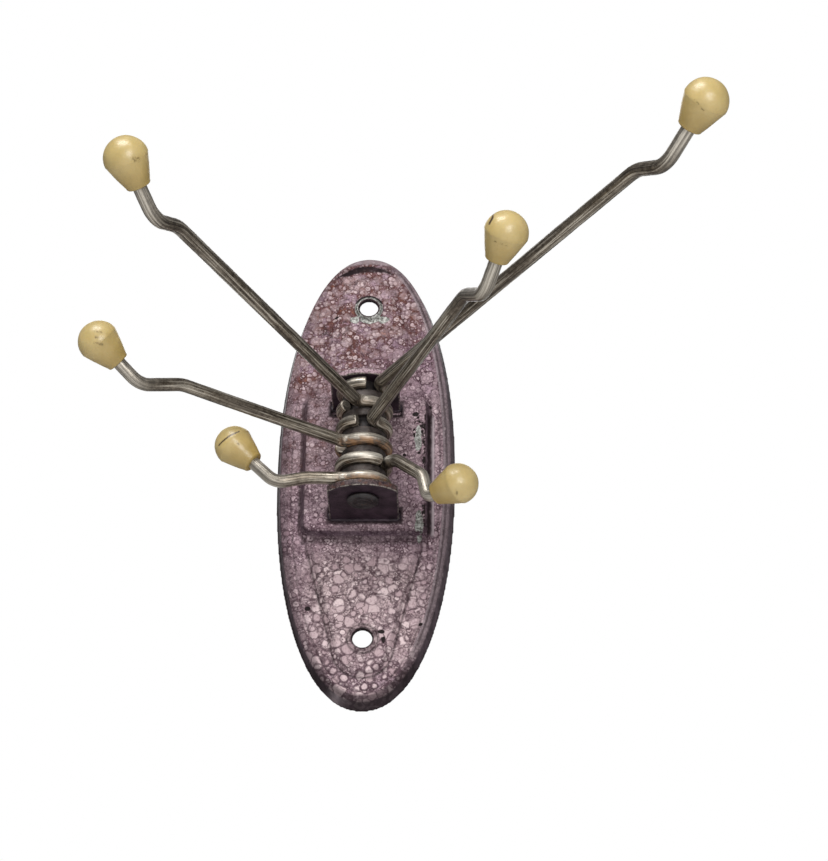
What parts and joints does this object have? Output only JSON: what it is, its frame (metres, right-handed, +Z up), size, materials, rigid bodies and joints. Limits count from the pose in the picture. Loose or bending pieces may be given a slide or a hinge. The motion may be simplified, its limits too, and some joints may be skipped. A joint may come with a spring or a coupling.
{
  "type": "coat rack",
  "caption": "Wall-mounted coat rack: an oval pressed plate with a lugged bracket and a vertical pin, on which wire arms with round-ended plastic knobs swivel",
  "frame": {"origin": "middle of the oval plate, in the plane of the wall", "axes": "+Z up along the plate, +Y into the wall, so the arms stand out to -Y; +X to the right seen from the room"},
  "size_m": [0.2113, 0.2057, 0.1902],
  "materials": {
    "plate_enamel": "old crackled purple-grey enamel with worn edges and rust",
    "bracket_enamel": "dark worn enamel, bare at the front edges",
    "pin_steel": "dull brown-grey steel",
    "spacer_steel": "dark dull steel",
    "wire_steel": "plain drawn wire with a mottled grey-brown patina",
    "ivory_plastic": "aged cream plastic, browner at the neck"
  },
  "bodies": {
    "wall_unit": {"base_plate": "plate_enamel", "bracket": "bracket_enamel", "pivot_pin": "pin_steel", "spacer_1": "spacer_steel", "spacer_2": "spacer_steel", "spacer_3": "spacer_steel", "spacer_4": "spacer_steel", "spacer_5": "spacer_steel"},
    "swing_1": {"arm_1": "wire_steel", "knob_1": "ivory_plastic"},
    "swing_2": {"arm_2": "wire_steel", "knob_2": "ivory_plastic"},
    "swing_3": {"arm_3": "wire_steel", "knob_3": "ivory_plastic"},
    "swing_4": {"arm_4": "wire_steel", "knob_4": "ivory_plastic"},
    "swing_5": {"arm_5": "wire_steel", "knob_5": "ivory_plastic"},
    "swing_6": {"arm_6": "wire_steel", "knob_6": "ivory_plastic"}
  },
  "joints": [
    {"name": "arm_1_swing", "type": "hinge", "parent": "wall_unit", "child": "swing_1", "pos_m": [0, -0.0274, 0.01978], "axis": [0, 0, 1], "range_deg": [-48.3, 55.7]},
    {"name": "arm_2_swing", "type": "hinge", "parent": "wall_unit", "child": "swing_2", "pos_m": [0, -0.0274, 0.01202], "axis": [0, 0, 1], "range_deg": [-62.5, 35.5]},
    {"name": "arm_3_swing", "type": "hinge", "parent": "wall_unit", "child": "swing_3", "pos_m": [0, -0.0274, 0.00428], "axis": [0, 0, 1], "range_deg": [-37.7, 66.3]},
    {"name": "arm_4_swing", "type": "hinge", "parent": "wall_unit", "child": "swing_4", "pos_m": [0, -0.0274, -0.00347], "axis": [0, 0, 1], "range_deg": [-13, 63]},
    {"name": "arm_5_swing", "type": "hinge", "parent": "wall_unit", "child": "swing_5", "pos_m": [0, -0.0274, -0.01123], "axis": [0, 0, 1], "range_deg": [-110.5, 32.5]},
    {"name": "arm_6_swing", "type": "hinge", "parent": "wall_unit", "child": "swing_6", "pos_m": [0, -0.0274, -0.01897], "axis": [0, 0, 1], "range_deg": [-7.3, 15.7]}
  ]
}
